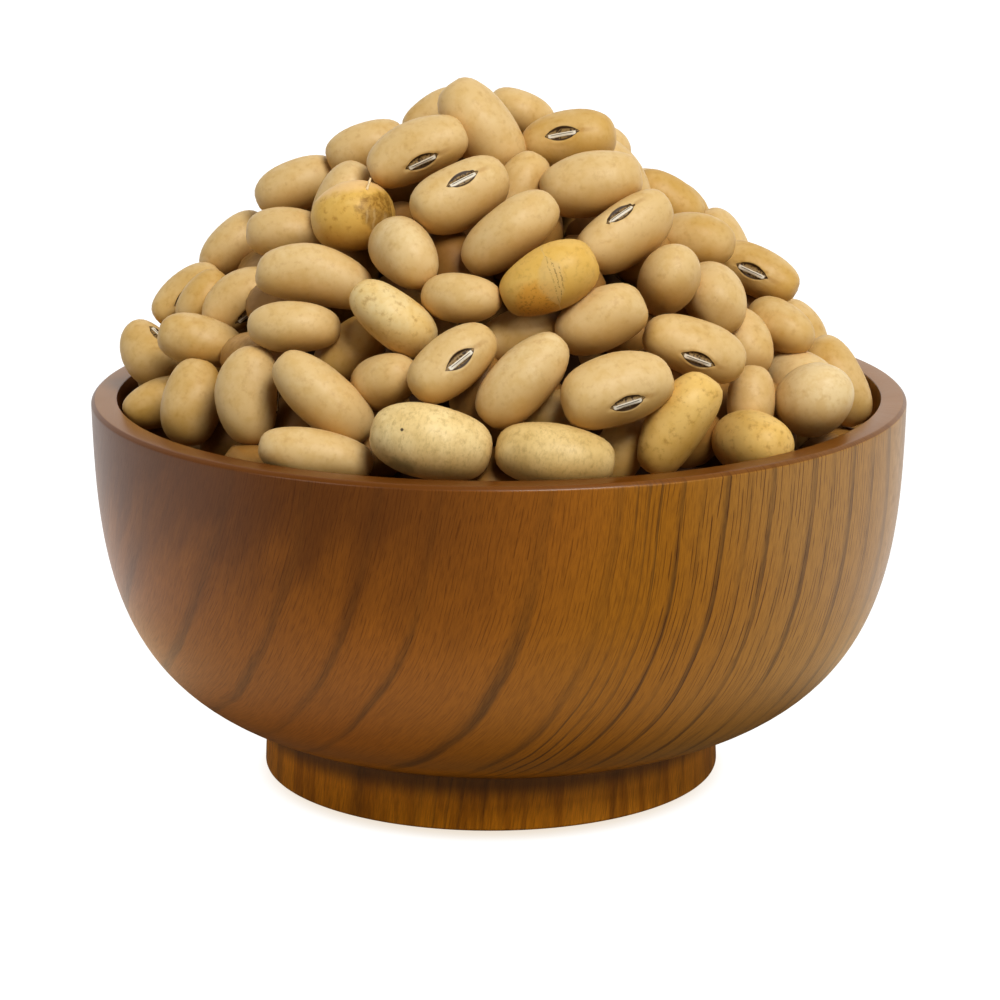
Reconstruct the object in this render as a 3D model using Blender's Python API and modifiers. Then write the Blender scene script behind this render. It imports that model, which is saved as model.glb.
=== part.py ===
"""A turned wooden bowl on a low foot, heaped high with dried beans.

Metres, +Z up. The origin is on the surface that the foot stands on, below the centre of the rim.
Two solids: the bowl, turned with its foot from one block, and the beans, a smooth core that fills
the bowl and rises to a dome, with the beans that show fused on to it at their real size.
"""

import math
import random

import bmesh
import bpy
from mathutils import Matrix, Vector

MM = 0.001

# The bowl: its rim, its height and the Bezier handles of its outer and inner walls.
RIM_RADIUS = 60.0 * MM
RIM_WIDTH = 3.8 * MM
RIM_OUTER_ROUND = 0.9 * MM
RIM_INNER_ROUND = 0.5 * MM
BOWL_HEIGHT = 57.0 * MM
BELLY_HANDLE = Vector((59.5, 33.0)) * MM
HEEL_HANDLE = Vector((59.1, 6.2)) * MM
HEEL_END = Vector((17.3, 6.2)) * MM
INNER_HANDLE = Vector((55.8, 35.0)) * MM
INNER_HEEL_HANDLE = Vector((54.0, 10.8)) * MM
FLOOR_END = Vector((16.0, 10.8)) * MM
WALL_POINTS = 10
INNER_POINTS = 6
ROUND_POINTS = 3
TURNS = 48

# The foot: a low cylinder, turned a little off the rim's axis and hollowed slightly underneath.
FOOT_RADIUS = 34.2 * MM
FOOT_TOP_RADIUS = 33.8 * MM
FOOT_TOP = 9.5 * MM
FOOT_ROUND = 0.5 * MM
FOOT_OFFSET = -1.2 * MM
FOOT_RING = 9.0 * MM
FOOT_RECESS = 1.2 * MM

# The heap: an even dome over the rim, given by the height of the beans' tops at each radius.
HEAP_RADIUS = 55.6 * MM
HEAP_RISE = 46.0 * MM
HEAP_POWER = 1.8
CORE_DEPTH = 7.2 * MM
CORE_BRIM_RADIUS = 42.0 * MM
CORE_BRIM_DROP = 6.5 * MM
CORE_GAP = 0.6 * MM
CORE_TURNS = 32
CORE_POINTS = 7

# The beans: mean length, width and thickness, how far each differs, and how they lie.
BEAN = Vector((14.6, 10.0, 8.8)) * MM
BEAN_SPREAD = 0.11
BEAN_BEND = 1.5 * MM
BEAN_FULLNESS = 0.85
BEAN_SIDES = 7
BEAN_RINGS = 5
BEAN_TILT = math.radians(24)
BEAN_JITTER = 1.8 * MM
BEAN_SUNK = (0.42, 0.62)
SEED = 11

# How many beans lie on the dome, and how many in the row that fills the trench along the wall.
DOME_COUNT = 118
DOME_RADIUS = 50.2 * MM
WALL_ROW_COUNT = 25
WALL_ROW_RADIUS = 50.6 * MM
WALL_ROW_LIFT = 0.8 * MM
WALL_ROW_SHIFT = 0.2
WALL_ROW_SPIN = 0.12
WALL_GAP = 0.5 * MM

# A bean that would cut the wall is moved inwards in small steps that rise a little.
NUDGE = 0.4 * MM
NUDGE_RISE = 0.3
NUDGES = 14

GOLDEN_ANGLE = math.pi * (3 - math.sqrt(5))
AREA_STEPS = 400
LEAST_SHARE = 1e-6

# Finishes from the photograph, with linear colours.
WOOD_COLOUR = (0.26, 0.105, 0.032, 1.0)
WOOD_ROUGHNESS = 0.35
BEAN_COLOUR = (0.62, 0.42, 0.20, 1.0)
BEAN_ROUGHNESS = 0.45


def clear_scene():
    for obj in list(bpy.data.objects):
        bpy.data.objects.remove(obj)


def collection(name):
    made = bpy.data.collections.new(name)
    bpy.context.scene.collection.children.link(made)
    return made


def material(name, colour, roughness):
    made = bpy.data.materials.new(name)
    made.use_nodes = True
    shader = made.node_tree.nodes["Principled BSDF"]
    shader.inputs["Base Color"].default_value = colour
    shader.inputs["Roughness"].default_value = roughness
    shader.inputs["Metallic"].default_value = 0.0
    made.diffuse_color = colour
    return made


def bezier(start, first, second, end, count):
    """Points along a cubic Bezier, both ends included."""
    points = []
    for i in range(count):
        t = i / (count - 1)
        u = 1 - t
        points.append(start * u**3 + first * (3 * u * u * t) + second * (3 * u * t * t) + end * t**3)
    return points


def corner(centre, radius, first, last, count):
    """Points round an arc in the profile's plane, from one angle to another, in degrees."""
    points = []
    for i in range(count):
        angle = math.radians(first + (last - first) * i / (count - 1))
        points.append(centre + Vector((math.cos(angle), math.sin(angle))) * radius)
    return points


def outer_wall():
    """The outer wall's profile, from the rim down to the heel and in under the bowl."""
    top = Vector((RIM_RADIUS, BOWL_HEIGHT - RIM_OUTER_ROUND))
    return bezier(top, BELLY_HANDLE, HEEL_HANDLE, HEEL_END, WALL_POINTS)


def inner_wall():
    """The inner wall's profile, from the floor up to the rim."""
    top = Vector((RIM_RADIUS - RIM_WIDTH, BOWL_HEIGHT - RIM_INNER_ROUND))
    return bezier(FLOOR_END, INNER_HEEL_HANDLE, INNER_HANDLE, top, INNER_POINTS)


def turned(name, profile, turns, into):
    """A solid turned from a profile of (radius, height) points that starts and ends on the axis."""
    mesh = bpy.data.meshes.new(name)
    edges = [(i, i + 1) for i in range(len(profile) - 1)]
    mesh.from_pydata([(p[0], 0.0, p[1]) for p in profile], edges, [])
    obj = bpy.data.objects.new(name, mesh)
    into.objects.link(obj)
    screw = obj.modifiers.new("Turn", "SCREW")
    screw.steps = screw.render_steps = turns
    screw.use_merge_vertices = True
    screw.merge_threshold = 0.05 * MM
    screw.use_smooth_shade = True
    return obj


def evaluated_mesh(obj):
    bpy.context.view_layer.update()
    graph = bpy.context.evaluated_depsgraph_get()
    return bpy.data.meshes.new_from_object(obj.evaluated_get(graph))


def make_bowl(parts, cutters):
    """The bowl's body, with its foot joined on by a Boolean union."""
    floor_centre = Vector((0.0, FLOOR_END[1]))
    inner_centre = Vector((RIM_RADIUS - RIM_WIDTH + RIM_INNER_ROUND, BOWL_HEIGHT - RIM_INNER_ROUND))
    outer_centre = Vector((RIM_RADIUS - RIM_OUTER_ROUND, BOWL_HEIGHT - RIM_OUTER_ROUND))
    profile = [floor_centre]
    profile += inner_wall()[:-1]
    profile += corner(inner_centre, RIM_INNER_ROUND, 180, 90, ROUND_POINTS)
    profile += corner(outer_centre, RIM_OUTER_ROUND, 90, 0, ROUND_POINTS)[:-1]
    profile += outer_wall()
    profile += [Vector((0.0, HEEL_END[1]))]
    bowl = turned("bowl", profile, TURNS, parts)

    recess_radius = FOOT_RADIUS - FOOT_RING
    foot_profile = [
        Vector((0.0, FOOT_TOP)),
        Vector((FOOT_TOP_RADIUS, FOOT_TOP)),
        Vector((FOOT_RADIUS, FOOT_ROUND)),
        Vector((FOOT_RADIUS - FOOT_ROUND, 0.0)),
        Vector((recess_radius, 0.0)),
        Vector((recess_radius - FOOT_RECESS, FOOT_RECESS)),
        Vector((0.0, FOOT_RECESS)),
    ]
    foot = turned("foot_block", foot_profile, TURNS, cutters)
    foot.location.x = FOOT_OFFSET
    foot.hide_render = True
    foot.display_type = "WIRE"
    join = bowl.modifiers.new("Foot", "BOOLEAN")
    join.operation = "UNION"
    join.object = foot
    return bowl


def heap_top(radius):
    """The height of the beans' tops at a distance from the axis."""
    share = min(1.0, radius / HEAP_RADIUS)
    return BOWL_HEIGHT + HEAP_RISE * (1 - share**HEAP_POWER)


def heap_normal(radius, bearing):
    """The outward normal of the dome at a place."""
    share = max(LEAST_SHARE, radius / HEAP_RADIUS)
    slope = HEAP_RISE * HEAP_POWER / HEAP_RADIUS * share ** (HEAP_POWER - 1)
    outward = Vector((math.cos(bearing), math.sin(bearing), 0.0))
    return (outward * slope + Vector((0.0, 0.0, 1.0))).normalized()


def inner_radius(height):
    """The bowl's inner radius at a height, read from the inner wall's profile."""
    wall = inner_wall()
    for low, high in zip(wall, wall[1:]):
        if low[1] <= height < high[1]:
            share = (height - low[1]) / (high[1] - low[1])
            return low[0] + (high[0] - low[0]) * share
    return wall[-1][0]


def ring_radii(count, outermost):
    """Radii that share the dome's area evenly among a number of beans, from the rim inwards."""
    areas = [0.0]
    for i in range(AREA_STEPS):
        radius = outermost * (i + 0.5) / AREA_STEPS
        share = radius / HEAP_RADIUS
        slope = HEAP_RISE * HEAP_POWER / HEAP_RADIUS * share ** (HEAP_POWER - 1)
        areas.append(areas[-1] + radius * math.sqrt(1 + slope * slope))
    radii = []
    step = 0
    for k in range(count):
        wanted = areas[-1] * (k + 0.5) / count
        while areas[step + 1] < wanted:
            step += 1
        radii.append(outermost * (step + 0.5) / AREA_STEPS)
    return radii


def bean_mesh(size):
    """One kidney-shaped bean with few sides: long in X, its hollow side towards -Y."""
    mesh = bpy.data.meshes.new("bean")
    shape = bmesh.new()
    bmesh.ops.create_uvsphere(shape, u_segments=BEAN_SIDES, v_segments=BEAN_RINGS, radius=1.0)
    poles_to_ends = Matrix.Rotation(math.radians(90), 4, "Y")
    bmesh.ops.transform(shape, matrix=poles_to_ends, verts=shape.verts)
    for vert in shape.verts:
        along, across, through = vert.co
        girth = max(LEAST_SHARE, math.hypot(across, through))
        fuller = girth**BEAN_FULLNESS / girth
        across *= fuller
        through *= fuller
        bend = BEAN_BEND * (0.4 - along * along)
        vert.co = (along * size[0] / 2, across * size[1] / 2 + bend, through * size[2] / 2)
    shape.to_mesh(mesh)
    shape.free()
    return mesh


def fits(mesh, place):
    """True if a bean there clears the bowl's wall and its rim."""
    for vert in mesh.vertices:
        point = place @ vert.co
        if point.z > BOWL_HEIGHT + WALL_GAP:
            continue
        if math.hypot(point.x, point.y) > inner_radius(point.z) - WALL_GAP:
            return False
    return True


def bean_place(radius, bearing, spin, tilt, roll, depth):
    """Where a bean lies: flat on the dome, then spun about the dome's normal, tilted and rolled."""
    normal = heap_normal(radius, bearing)
    around = Vector((-math.sin(bearing), math.cos(bearing), 0.0))
    upward = normal.cross(around)
    lying = Matrix((around, upward, normal)).transposed().to_4x4()
    surface = Vector((radius * math.cos(bearing), radius * math.sin(bearing), heap_top(radius)))
    turn = Matrix.Rotation(spin, 4, "Z") @ Matrix.Rotation(tilt, 4, "Y") @ Matrix.Rotation(roll, 4, "X")
    return Matrix.Translation(surface - normal * depth) @ lying @ turn


def random_bean(draw, spin_share):
    """A bean of its own size, with the turns that lay it down: spin, tilt and roll."""
    size = Vector([side * draw.uniform(1 - BEAN_SPREAD, 1 + BEAN_SPREAD) for side in BEAN])
    spin = draw.uniform(0, math.tau) * spin_share
    tilt = draw.uniform(-BEAN_TILT, BEAN_TILT)
    roll = draw.uniform(0, math.tau)
    return size, spin, tilt, roll


def lay_bean(name, mesh, place, bearing, loose):
    """Adds a bean, moved in from the wall as far as it needs. It is left out if nothing clears the wall."""
    inward = Vector((-math.cos(bearing), -math.sin(bearing), NUDGE_RISE)) * NUDGE
    for _ in range(NUDGES):
        if fits(mesh, place):
            bean = bpy.data.objects.new(name, mesh)
            bean.matrix_world = place
            bean.hide_render = True
            loose.objects.link(bean)
            return
        place = Matrix.Translation(inward) @ place


def lay_dome(draw, loose):
    """Beans spread over the dome along a golden-angle spiral, each shifted and turned at random."""
    for k, ring in enumerate(ring_radii(DOME_COUNT, DOME_RADIUS)):
        size, spin, tilt, roll = random_bean(draw, 1.0)
        bearing = k * GOLDEN_ANGLE + draw.uniform(-1, 1) * BEAN_JITTER / max(ring, BEAN_JITTER)
        radius = max(0.0, min(DOME_RADIUS, ring + draw.uniform(-0.5, 0.5) * BEAN_JITTER))
        depth = size[2] * draw.uniform(*BEAN_SUNK)
        place = bean_place(radius, bearing, spin, tilt, roll, depth)
        lay_bean(f"dome_bean_{k:03d}", bean_mesh(size), place, bearing, loose)


def lay_wall_row(draw, loose):
    """Beans that lie along the inner wall, level with the rim."""
    for k in range(WALL_ROW_COUNT):
        size, spin, tilt, roll = random_bean(draw, WALL_ROW_SPIN)
        bearing = (k + draw.uniform(-1, 1) * WALL_ROW_SHIFT) * math.tau / WALL_ROW_COUNT
        lift = WALL_ROW_LIFT + draw.uniform(-1, 1) * BEAN_JITTER * 0.5
        centre = (WALL_ROW_RADIUS * math.cos(bearing), WALL_ROW_RADIUS * math.sin(bearing))
        along_wall = Matrix.Rotation(bearing + math.pi / 2 + spin, 4, "Z")
        turn = Matrix.Rotation(tilt, 4, "Y") @ Matrix.Rotation(roll, 4, "X")
        place = Matrix.Translation((*centre, BOWL_HEIGHT + lift)) @ along_wall @ turn
        lay_bean(f"wall_bean_{k:03d}", bean_mesh(size), place, bearing, loose)


def core_profile():
    """The core's profile: down the dome, over the brim into the trench, and down the inner wall."""
    profile = []
    for i in range(CORE_POINTS):
        radius = CORE_BRIM_RADIUS * i / (CORE_POINTS - 1)
        profile.append(Vector((radius, heap_top(radius) - CORE_DEPTH)))
    lining = [p + Vector((-CORE_GAP, CORE_GAP)) for p in reversed(inner_wall())]
    profile += [p for p in lining if p[1] < BOWL_HEIGHT - CORE_BRIM_DROP]
    profile += [Vector((0.0, FLOOR_END[1] + CORE_GAP))]
    return profile


def make_beans(parts, loose):
    """The heap: its core and the beans that show, joined by one Boolean union."""
    draw = random.Random(SEED)
    lay_dome(draw, loose)
    lay_wall_row(draw, loose)
    beans = turned("beans", core_profile(), CORE_TURNS, parts)
    join = beans.modifiers.new("Beans", "BOOLEAN")
    join.operation = "UNION"
    join.operand_type = "COLLECTION"
    join.collection = loose
    join.solver = "MANIFOLD"
    fused = evaluated_mesh(beans)
    beans.modifiers.clear()
    beans.data = fused
    for obj in list(loose.objects):
        bpy.data.objects.remove(obj)
    keep_largest(beans.data)
    return beans


def keep_largest(mesh):
    """Keeps the outer surface of the fused heap, so that a sealed pocket is filled and a scrap dropped."""
    shape = bmesh.new()
    shape.from_mesh(mesh)
    unseen = set(shape.verts)
    groups = []
    while unseen:
        border = [unseen.pop()]
        group = []
        while border:
            vert = border.pop()
            group.append(vert)
            for edge in vert.link_edges:
                other = edge.other_vert(vert)
                if other in unseen:
                    unseen.remove(other)
                    border.append(other)
        groups.append(group)
    groups.sort(key=len)
    for group in groups[:-1]:
        bmesh.ops.delete(shape, geom=group, context="VERTS")
    shape.to_mesh(mesh)
    shape.free()


def main():
    clear_scene()
    parts = collection("bowl_of_dried_beans")
    cutters = collection("cutters")
    loose = collection("loose_beans")
    bowl = make_bowl(parts, cutters)
    bowl.data.materials.append(material("lacquered_wood", WOOD_COLOUR, WOOD_ROUGHNESS))
    beans = make_beans(parts, loose)
    beans.data.materials.append(material("dried_bean", BEAN_COLOUR, BEAN_ROUGHNESS))


main()
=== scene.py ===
"""A turned wooden bowl heaped with dried beans: the finished surfaces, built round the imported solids.

The bowl is turned again at a finer step, and the heap is made of separate beans. The beans that face
the camera lie where the photograph shows them, and the rest follow a rule over the same dome.
"""

import math
import random

import bpy
import numpy as np
from mathutils import Matrix, Vector


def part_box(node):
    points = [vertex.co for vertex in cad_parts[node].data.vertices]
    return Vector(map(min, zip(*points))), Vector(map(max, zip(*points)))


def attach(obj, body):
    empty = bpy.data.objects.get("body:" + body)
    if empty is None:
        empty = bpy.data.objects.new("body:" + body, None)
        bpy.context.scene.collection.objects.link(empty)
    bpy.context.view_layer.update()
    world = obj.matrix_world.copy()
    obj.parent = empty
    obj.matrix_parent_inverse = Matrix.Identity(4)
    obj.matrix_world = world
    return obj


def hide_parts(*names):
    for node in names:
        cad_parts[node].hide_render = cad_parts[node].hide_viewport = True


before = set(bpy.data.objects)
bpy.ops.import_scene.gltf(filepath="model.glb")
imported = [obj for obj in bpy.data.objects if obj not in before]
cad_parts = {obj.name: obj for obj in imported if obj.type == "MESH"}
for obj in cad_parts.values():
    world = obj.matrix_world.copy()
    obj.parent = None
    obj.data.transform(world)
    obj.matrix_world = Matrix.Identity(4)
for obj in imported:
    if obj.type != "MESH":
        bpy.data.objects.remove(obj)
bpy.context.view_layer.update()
MM = 0.001

# Camera. It stands half a metre away, a little above the heap's foot, and looks slightly down.
# The lens is long, so the rim shows as a flat ellipse. Pixels are those of a square picture.
PICTURE = 1000
FOCAL_PIXELS = 3336
CAMERA_AT = Vector((0.16, -482.7, 163.4)) * MM
CAMERA_PITCH = math.radians(14.34)
SENSOR = 36.0

camera_data = bpy.data.cameras.new("camera")
camera_data.sensor_width = SENSOR
camera_data.lens = SENSOR * FOCAL_PIXELS / PICTURE
camera_data.clip_start = 0.01
camera = bpy.data.objects.new("camera", camera_data)
camera.location = CAMERA_AT
camera.rotation_euler = (math.pi / 2 - CAMERA_PITCH, 0, 0)
bpy.context.scene.collection.objects.link(camera)
bpy.context.scene.camera = camera

LENS_AT = np.array(CAMERA_AT)
LENS_RIGHT = np.array((1.0, 0.0, 0.0))
LENS_AHEAD = np.array((0.0, math.cos(CAMERA_PITCH), -math.sin(CAMERA_PITCH)))
LENS_UP = np.array((0.0, math.sin(CAMERA_PITCH), math.cos(CAMERA_PITCH)))


def sight(x, y):
    """The direction in which the camera sees a pixel."""
    across = (x - PICTURE / 2) / FOCAL_PIXELS
    down = (y - PICTURE / 2) / FOCAL_PIXELS
    line = LENS_AHEAD + LENS_RIGHT * across - LENS_UP * down
    return line / np.linalg.norm(line)


# Light. A photographer's table: a soft lamp above the camera, weaker ones beside it, and pale
# surroundings that are dark in front. The picture is taken with a little more contrast than the eye's.
ROOM_SHINE = 0.33
ROOM_BACK = 0.70
ROOM_RIGHT = 0.12
ROOM_LEAST = 0.03
ROOM_SEEN = 1.05
VIEW_GAMMA = 0.87
VIEW_EXPOSURE = 0.10
LAMPS = (
    ("lamp_above", (0.32, -0.76, 0.90), 0.45, 10.8),
    ("lamp_left", (-0.80, -0.62, 0.50), 0.5, 2.3),
    ("lamp_right", (0.70, -0.80, 0.32), 0.5, 1.6),
)
LAMPS_AIM = Vector((0, 0, 0.05))
WHITE = (1.0, 1.0, 1.0, 1.0)


class Socket:
    """One output of a node. Arithmetic on it adds Math nodes to the same material."""

    def __init__(self, finish, output):
        self.finish = finish
        self.output = output

    def math(self, operation, first, second=None):
        inputs = {0: first} if second is None else {0: first, 1: second}
        return self.finish.node("Math", {"operation": operation}, inputs)

    def __add__(self, other):
        return self.math("ADD", self, other)

    __radd__ = __add__

    def __sub__(self, other):
        return self.math("SUBTRACT", self, other)

    def __rsub__(self, other):
        return self.math("SUBTRACT", other, self)

    def __mul__(self, other):
        return self.math("MULTIPLY", self, other)

    __rmul__ = __mul__

    def __truediv__(self, other):
        return self.math("DIVIDE", self, other)

    def __pow__(self, power):
        return self.math("POWER", self, power)

    def __abs__(self):
        return self.math("ABSOLUTE", self)

    def __gt__(self, other):
        return self.math("GREATER_THAN", self, other)

    def __lt__(self, other):
        return self.math("LESS_THAN", self, other)


class Finish:
    """A material or the world, and the one way in which nodes are added to it."""

    def __init__(self, owner, shader="Principled BSDF"):
        self.material = owner
        owner.use_nodes = True
        self.tree = owner.node_tree
        self.shader = self.tree.nodes[shader]

    def feed(self, socket, value):
        if isinstance(value, Socket):
            self.tree.links.new(value.output, socket)
        else:
            socket.default_value = value

    def node(self, kind, settings, inputs, output=0):
        """Adds a node: its settings first, with a ramp's stops among them, then its inputs."""
        made = self.tree.nodes.new("ShaderNode" + kind)
        for name, value in settings.items():
            if name == "stops":
                ramp = made.color_ramp
                while len(ramp.elements) < len(value):
                    ramp.elements.new(1.0)
                for element, (place, colour) in zip(ramp.elements, value):
                    element.position = place
                    element.color = colour
            elif name == "interpolation":
                made.color_ramp.interpolation = value
            else:
                setattr(made, name, value)
        for name, value in inputs.items():
            self.feed(made.inputs[name], value)
        return Socket(self, made.outputs[output])

    def set(self, **inputs):
        """Sets the shader's own sockets. An underscore stands for a space."""
        for name, value in inputs.items():
            self.feed(self.shader.inputs[name.replace("_", " ")], value)

    def noise(self, at, scale, detail=2.0, roughness=0.5):
        inputs = {"Vector": at, "Scale": scale, "Detail": detail, "Roughness": roughness}
        return self.node("TexNoise", {}, inputs)

    def ramp(self, value, low, high):
        """A value taken smoothly from 0 at low to 1 at high."""
        inputs = {"Value": value, "From Min": low, "From Max": high}
        return self.node("MapRange", {"interpolation_type": "SMOOTHSTEP"}, inputs)

    def blend(self, factor, first, second):
        """Two colours mixed by a factor."""
        return self.node("Mix", {"data_type": "RGBA"}, {0: factor, 6: first, 7: second}, output=2)

    def stretch(self, at, factors):
        return self.node("VectorMath", {"operation": "MULTIPLY"}, {0: at, 1: factors})


def paint(red, green, blue):
    """A colour given in the 0 to 255 steps of a screen, as the linear one a shader takes."""
    shares = [channel / 255 for channel in (red, green, blue)]
    linear = [s / 12.92 if s <= 0.04045 else ((s + 0.055) / 1.055) ** 2.4 for s in shares]
    return (*linear, 1.0)


world = bpy.data.worlds.new("light_tent")
bpy.context.scene.world = world
room = Finish(world, "Background")
way = room.node("SeparateXYZ", {}, {0: room.node("TexCoord", {}, {}, output="Generated")})
way_x, way_y = (Socket(room, way.output.node.outputs[axis]) for axis in range(2))
shine = way_y * ROOM_BACK + way_x * ROOM_RIGHT + ROOM_SHINE
shine = room.node("Math", {"operation": "MAXIMUM"}, {0: shine, 1: ROOM_LEAST})
seen = room.node("LightPath", {}, {}, output="Is Camera Ray")
room.set(Color=WHITE, Strength=shine * (1 - seen) + seen * ROOM_SEEN)
for lamp_name, lamp_at, lamp_side, lamp_power in LAMPS:
    lamp_data = bpy.data.lights.new(lamp_name, "AREA")
    lamp_data.size = lamp_side
    lamp_data.energy = lamp_power
    lamp = bpy.data.objects.new(lamp_name, lamp_data)
    lamp.location = lamp_at
    lamp.rotation_euler = (LAMPS_AIM - Vector(lamp_at)).to_track_quat("-Z", "Y").to_euler()
    lamp.visible_camera = False
    bpy.context.scene.collection.objects.link(lamp)
bpy.context.scene.view_settings.view_transform = "Standard"
bpy.context.scene.view_settings.look = "None"
bpy.context.scene.view_settings.gamma = VIEW_GAMMA
bpy.context.scene.view_settings.exposure = VIEW_EXPOSURE


# Floor. A plain white sheet that the foot stands on. It glows, as if lit through from below, and is not lit
# by the lamps; the faint warm shadow round the foot is painted shadow in the white that the camera sees.
# To the bowl it glows less in front, but for what is near, and warm near the bowl as painted bounce light.
FLOOR_SIDE = 12.0
FLOOR_DROP = 0.05 * MM
FLOOR_COLOUR = (0.12, 0.12, 0.12, 1.0)
FLOOR_COLOUR_SEEN = (0.02, 0.02, 0.02, 1.0)
FLOOR_SHADE = (0.80, 0.73, 0.64, 1.0)
SHADE_MIDDLE = (-1.2, -3.0)
SHADE_REACH = (31.0, 37.0)
FLOOR_GLOW_SEEN = 1.0
FLOOR_GLOW_FRONT = 0.08
FLOOR_GLOW_BACK = 0.95
FLOOR_GLOW_NEAR = 0.86
FLOOR_GLOW_NEAR_COLOUR = (1.0, 0.84, 0.62, 1.0)
FLOOR_BRIGHTENS = (-90, 50)
FLOOR_SIDE_SHARE = 0.4
FLOOR_NEAR_BOWL = (70, 120)
FLOOR_UNDER_BOWL = (46, 74)

floor_mesh = bpy.data.meshes.new("floor")
edge = FLOOR_SIDE / 2
corners = [(-edge, -edge, 0), (edge, -edge, 0), (edge, edge, 0), (-edge, edge, 0)]
floor_mesh.from_pydata(corners, [], [(0, 1, 2, 3)])
floor = bpy.data.objects.new("floor", floor_mesh)
floor.location.z = -FLOOR_DROP
bpy.context.scene.collection.objects.link(floor)
sheet = Finish(bpy.data.materials.new("white_sheet"))
seen = sheet.node("LightPath", {}, {}, output="Is Camera Ray")
on_floor = sheet.stretch(sheet.node("TexCoord", {}, {}, output="Object"), (1 / MM, 1 / MM, 0))
split = sheet.node("SeparateXYZ", {}, {0: on_floor})
floor_x, floor_y = (Socket(sheet, split.output.node.outputs[axis]) for axis in range(2))
from_axis = (floor_x**2 + floor_y**2) ** 0.5
brightens = sheet.ramp(floor_y + abs(floor_x) * FLOOR_SIDE_SHARE, *FLOOR_BRIGHTENS)
glow = brightens * (FLOOR_GLOW_BACK - FLOOR_GLOW_FRONT)
near = 1 - sheet.ramp(from_axis, *FLOOR_NEAR_BOWL)
near_glow = near * sheet.ramp(from_axis, *FLOOR_UNDER_BOWL) * FLOOR_GLOW_NEAR
glow = glow * (1 - near) + near_glow + FLOOR_GLOW_FRONT
# The camera sees a painted warm shadow round the foot.
from_middle = ((floor_x - SHADE_MIDDLE[0]) ** 2 + (floor_y - SHADE_MIDDLE[1]) ** 2) ** 0.5
shade = 1 - sheet.ramp(from_middle, *SHADE_REACH)
sheet.set(Base_Color=sheet.blend(seen, FLOOR_COLOUR_SEEN, FLOOR_COLOUR))
sheet.set(Roughness=0.9, Specular_IOR_Level=0.0)
# Near the bowl the glow is warm: painted bounce light from the wood.
glow_colour = sheet.blend(near, WHITE, FLOOR_GLOW_NEAR_COLOUR)
seen_colour = sheet.blend(shade, WHITE, FLOOR_SHADE)
sheet.set(Emission_Color=sheet.blend(seen, glow_colour, seen_colour))
sheet.set(Emission_Strength=glow * (1 - seen) + seen * FLOOR_GLOW_SEEN)
floor_mesh.materials.append(sheet.material)
lamps_pass = bpy.data.collections.new("lamps_pass")
lamps_pass.objects.link(floor)
lamps_pass.collection_objects[0].light_linking.link_state = "EXCLUDE"
for lamp_name, *_ in LAMPS:
    bpy.data.objects[lamp_name].light_linking.receiver_collection = lamps_pass


# Bowl. Turned from one block of a ring-porous hardwood and lacquered. The wall is nearly upright at
# the rim and rounds in to a low foot, which was turned a little off the rim's axis.
bowl_low, bowl_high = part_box("bowl")
RIM_RADIUS = bowl_high.x
BOWL_HEIGHT = bowl_high.z
RIM_WIDTH = 3.8 * MM
RIM_CHAMFER = 0.5 * MM
EDGE_ROUND = 0.2 * MM
BELLY_HANDLE = np.array((59.5, 33.0)) * MM
HEEL_HANDLE = np.array((59.1, 6.2)) * MM
HEEL_END = np.array((17.3, 6.2)) * MM
INNER_HANDLE = np.array((55.8, 35.0)) * MM
INNER_HEEL_HANDLE = np.array((54.0, 10.8)) * MM
FLOOR_END = np.array((16.0, 10.8)) * MM
FOOT_RADIUS = 34.2 * MM
FOOT_TOP_RADIUS = 33.8 * MM
FOOT_TOP = 9.5 * MM
FOOT_ROUND = 0.5 * MM
FOOT_OFFSET = -1.2 * MM
FOOT_RING = 9.0 * MM
FOOT_RECESS = 1.2 * MM
TURN_STEPS = 256
SHARP = math.radians(40)


def bezier(start, first, second, end, count):
    """Points along a cubic Bezier, both ends included."""
    t = np.linspace(0, 1, count)[:, None]
    u = 1 - t
    return start * u**3 + first * 3 * u**2 * t + second * 3 * u * t**2 + end * t**3


def rounded(corner, before, after, radius, count=4):
    """A profile's corner, rounded between the directions of the points before and after it."""
    start = corner + (before - corner) / np.linalg.norm(before - corner) * radius
    end = corner + (after - corner) / np.linalg.norm(after - corner) * radius
    t = np.linspace(0, 1, count)[:, None]
    return start * (1 - t) ** 2 + corner * 2 * t * (1 - t) + end * t**2


def lathe(name, profile, steps, offset=0.0):
    """A closed mesh turned about Z from a profile of (radius, height) that starts and ends on the axis."""
    turn = np.arange(steps) * math.tau / steps
    body = profile[1:-1]
    x = body[:, :1] * np.cos(turn) + offset
    y = body[:, :1] * np.sin(turn)
    z = np.repeat(body[:, 1:], steps, axis=1)
    rings = np.stack([x, y, z], axis=2).reshape(-1, 3)
    ends = np.array([(offset, 0.0, profile[0][1]), (offset, 0.0, profile[-1][1])])
    first, last = len(rings), len(rings) + 1
    faces = []
    for k in range(steps):
        after = (k + 1) % steps
        faces.append((first, k, after))
        for row in range(len(body) - 1):
            low = row * steps
            faces.append((low + k, low + steps + k, low + steps + after, low + after))
        low = (len(body) - 1) * steps
        faces.append((low + k, last, low + after))
    mesh = bpy.data.meshes.new(name)
    mesh.from_pydata(np.vstack([rings, ends]).tolist(), [], faces)
    return mesh


def add_object(name, mesh):
    made = bpy.data.objects.new(name, mesh)
    bpy.context.scene.collection.objects.link(made)
    return made


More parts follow.
